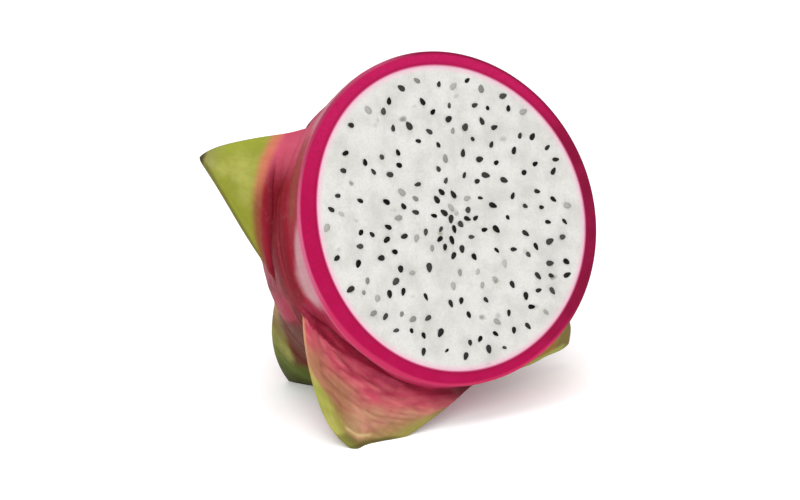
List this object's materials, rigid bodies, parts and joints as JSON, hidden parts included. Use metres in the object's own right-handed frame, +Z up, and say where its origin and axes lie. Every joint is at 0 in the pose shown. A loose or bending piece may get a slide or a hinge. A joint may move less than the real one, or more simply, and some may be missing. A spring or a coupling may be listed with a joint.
{
  "type": "dragon fruit half",
  "caption": "Half of a dragon fruit cut straight across: white flesh dotted with small black seeds in a thick pink peel with green-tipped leafy scales, lying with its cut side up.",
  "frame": {"origin": "middle of the flat spot under the lowest scale, on the surface that the half lies on", "axes": "+Z up; the fruit's axis is in the plane X = 0; the cut face looks towards -Y and leans back, so that it also looks up; +X is to the right for someone who looks at the cut face"},
  "size_m": [0.1026, 0.0867, 0.0923],
  "materials": {
    "peel": "smooth waxy pink skin that turns green towards the tips of its scales; deep magenta where it is cut",
    "flesh": "moist, slightly translucent white flesh",
    "seeds": "wet glossy black seeds"
  },
  "bodies": {
    "root": {"peel": "peel", "flesh": "flesh"}
  },
  "joints": []
}
